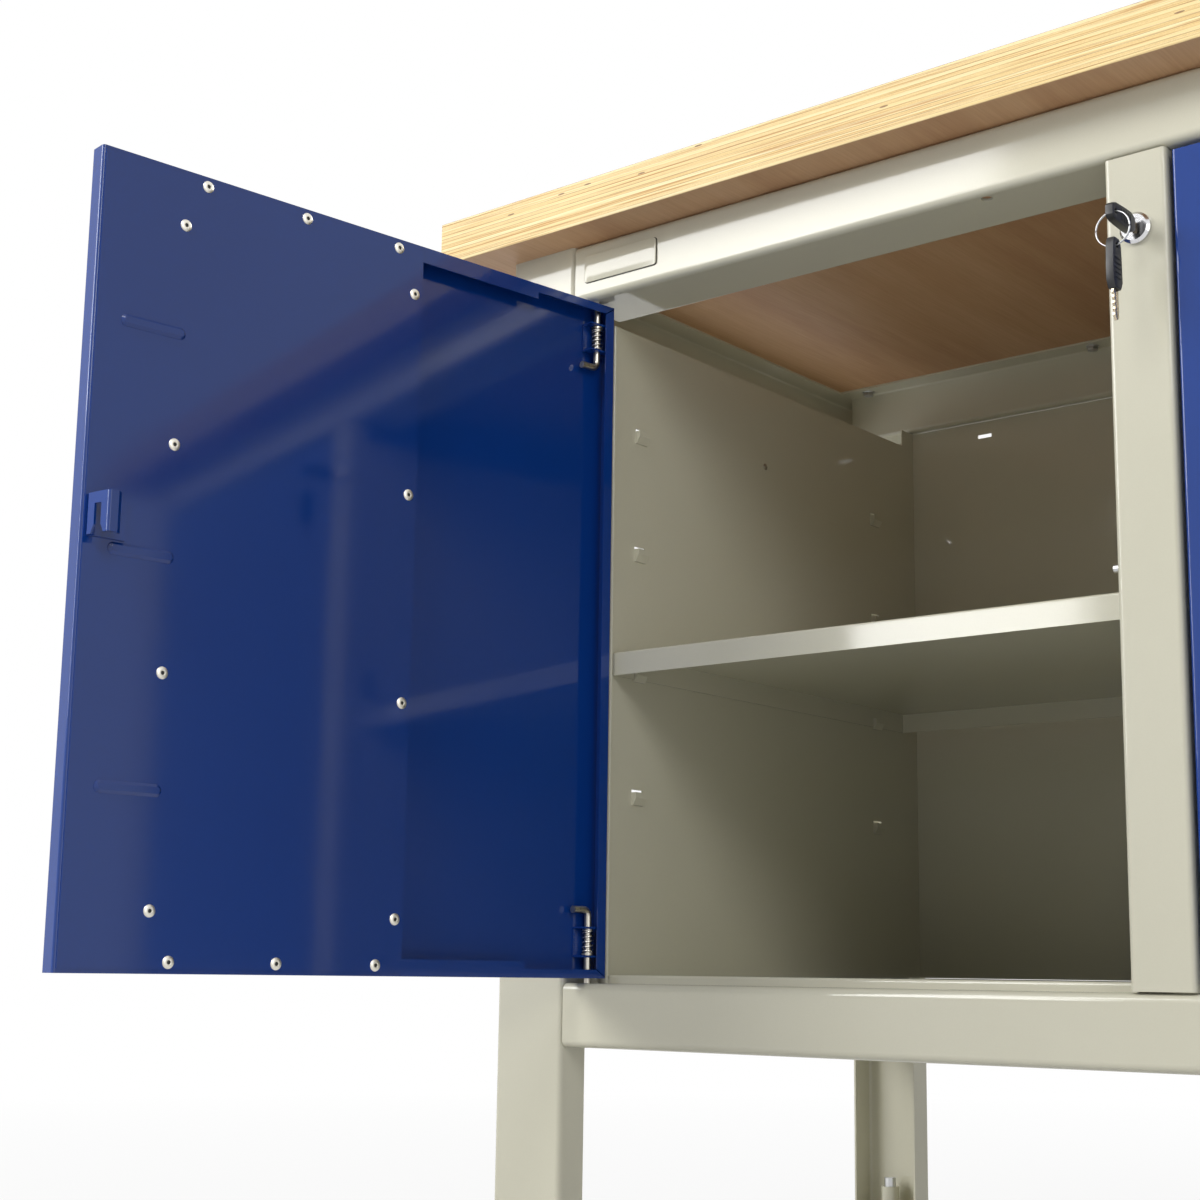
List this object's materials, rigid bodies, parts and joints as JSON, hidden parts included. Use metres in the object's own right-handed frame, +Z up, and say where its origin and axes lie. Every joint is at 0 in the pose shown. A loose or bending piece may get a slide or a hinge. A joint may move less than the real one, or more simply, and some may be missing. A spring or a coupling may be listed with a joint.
{
  "type": "storage workbench",
  "caption": "Storage workbench: thick plywood top on a folded steel frame over lockable hinged-door cupboards with hung shelves, sprung hinge pins and levelling feet.",
  "frame": {"origin": "centre of the bounding box at floor level, with the left door standing open", "axes": "+X to the right along the worktop as seen from the front, +Y to the back, +Z up"},
  "size_m": [1.3, 1.0748, 0.93],
  "materials": {
    "plywood": "satin multi-ply board",
    "frame_paint": "light grey powder coat",
    "door_paint": "deep blue powder coat",
    "zinc": "zinc plated",
    "rivet": "bare",
    "pin_steel": "bright drawn",
    "spring_steel": "bright drawn",
    "lock_chrome": "polished",
    "key_plastic": "moulded",
    "key_metal": "nickel plated"
  },
  "bodies": {
    "bench": {"worktop": "plywood", "front_left_leg": "frame_paint", "front_right_leg": "frame_paint", "rear_left_leg": "frame_paint", "rear_right_leg": "frame_paint", "foot_sockets": "frame_paint", "front_upper_rail": "frame_paint", "rear_upper_rail": "frame_paint", "front_lower_rail": "frame_paint", "rear_lower_rail": "frame_paint", "left_top_rail": "frame_paint", "right_top_rail": "frame_paint", "left_bottom_rail": "frame_paint", "right_bottom_rail": "frame_paint", "left_side_panel": "frame_paint", "right_side_panel": "frame_paint", "left_partition": "frame_paint", "right_partition": "frame_paint", "left_back_panel": "frame_paint", "right_back_panel": "frame_paint", "left_floor": "frame_paint", "right_floor": "frame_paint", "left_shelf": "frame_paint", "right_shelf": "frame_paint", "stile": "frame_paint", "lock_body": "lock_chrome", "bar_guides": "zinc", "worktop_screws": "zinc"},
    "left_door": {"left_door_skin": "door_paint", "left_door_stiffener": "door_paint", "left_door_rivets": "rivet", "left_keeper": "door_paint", "left_pin_brackets": "door_paint", "left_upper_spring": "spring_steel", "left_lower_spring": "spring_steel"},
    "right_door": {"right_door_skin": "door_paint", "right_door_stiffener": "door_paint", "right_door_rivets": "rivet", "right_keeper": "door_paint", "right_pin_brackets": "door_paint", "right_upper_spring": "spring_steel", "right_lower_spring": "spring_steel"},
    "lock_plug": {"lock_plug": "lock_chrome", "lock_cam": "zinc", "key_blade": "key_metal", "key_bow": "key_plastic"},
    "lock_bar": {"lock_bar": "zinc", "lock_peg": "zinc"},
    "key_ring": {"key_ring": "zinc"},
    "spare_key": {"spare_key_bow": "key_plastic", "spare_key_blade": "key_metal"},
    "front_left_foot": {"front_left_foot": "zinc"},
    "front_right_foot": {"front_right_foot": "zinc"},
    "rear_left_foot": {"rear_left_foot": "zinc"},
    "rear_right_foot": {"rear_right_foot": "zinc"},
    "left_upper_pin": {"left_upper_pin": "pin_steel"},
    "left_lower_pin": {"left_lower_pin": "pin_steel"},
    "right_upper_pin": {"right_upper_pin": "pin_steel"},
    "right_lower_pin": {"right_lower_pin": "pin_steel"}
  },
  "joints": [
    {"name": "left_door_hinge", "type": "hinge", "parent": "bench", "child": "left_door", "pos_m": [-0.5045, -0.06363, 0.25], "axis": [0, 0, 1], "range_deg": [-19.6, 98.4]},
    {"name": "right_door_hinge", "type": "hinge", "parent": "bench", "child": "right_door", "pos_m": [0.5045, -0.06363, 0.25], "axis": [0, 0, 1], "range_deg": [0, 118]},
    {"name": "lock_turn", "type": "hinge", "parent": "bench", "child": "lock_plug", "pos_m": [0, -0.07463, 0.781], "axis": [0, -1, 0], "range_deg": [0, 90]},
    {"name": "lock_bar_slide", "type": "slide", "parent": "bench", "child": "lock_bar", "axis": [0, 0, 1], "range_m": [0, 0.0198]},
    {"name": "key_ring_swing", "type": "hinge", "parent": "lock_plug", "child": "key_ring", "pos_m": [0, -0.11363, 0.781], "axis": [1, 0, 0], "range_deg": [-60, 12]},
    {"name": "spare_key_swing", "type": "hinge", "parent": "key_ring", "child": "spare_key", "pos_m": [0, -0.11363, 0.756], "axis": [1, 0, 0], "range_deg": [-60, 12]},
    {"name": "left_upper_pin_slide", "type": "slide", "parent": "left_door", "child": "left_upper_pin", "axis": [0, 0, -1], "range_m": [0, 0.012], "stiffness_N_per_m": 400, "springref_m": -0.008, "deforming": ["left_upper_spring"]},
    {"name": "left_lower_pin_slide", "type": "slide", "parent": "left_door", "child": "left_lower_pin", "axis": [0, 0, 1], "range_m": [0, 0.012], "stiffness_N_per_m": 400, "springref_m": -0.008, "deforming": ["left_lower_spring"]},
    {"name": "right_upper_pin_slide", "type": "slide", "parent": "right_door", "child": "right_upper_pin", "axis": [0, 0, -1], "range_m": [0, 0.012], "stiffness_N_per_m": 400, "springref_m": -0.008, "deforming": ["right_upper_spring"]},
    {"name": "right_lower_pin_slide", "type": "slide", "parent": "right_door", "child": "right_lower_pin", "axis": [0, 0, 1], "range_m": [0, 0.012], "stiffness_N_per_m": 400, "springref_m": -0.008, "deforming": ["right_lower_spring"]},
    {"name": "front_left_foot_screw", "type": "slide", "parent": "bench", "child": "front_left_foot", "axis": [0, 0, -1], "range_m": [0, 0.015]},
    {"name": "front_right_foot_screw", "type": "slide", "parent": "bench", "child": "front_right_foot", "axis": [0, 0, -1], "range_m": [0, 0.015]},
    {"name": "rear_left_foot_screw", "type": "slide", "parent": "bench", "child": "rear_left_foot", "axis": [0, 0, -1], "range_m": [0, 0.015]},
    {"name": "rear_right_foot_screw", "type": "slide", "parent": "bench", "child": "rear_right_foot", "axis": [0, 0, -1], "range_m": [0, 0.015]}
  ],
  "couplings": [
    {"joint": "lock_bar_slide", "follows": "lock_turn", "m_per_rad": 0.012605}
  ]
}
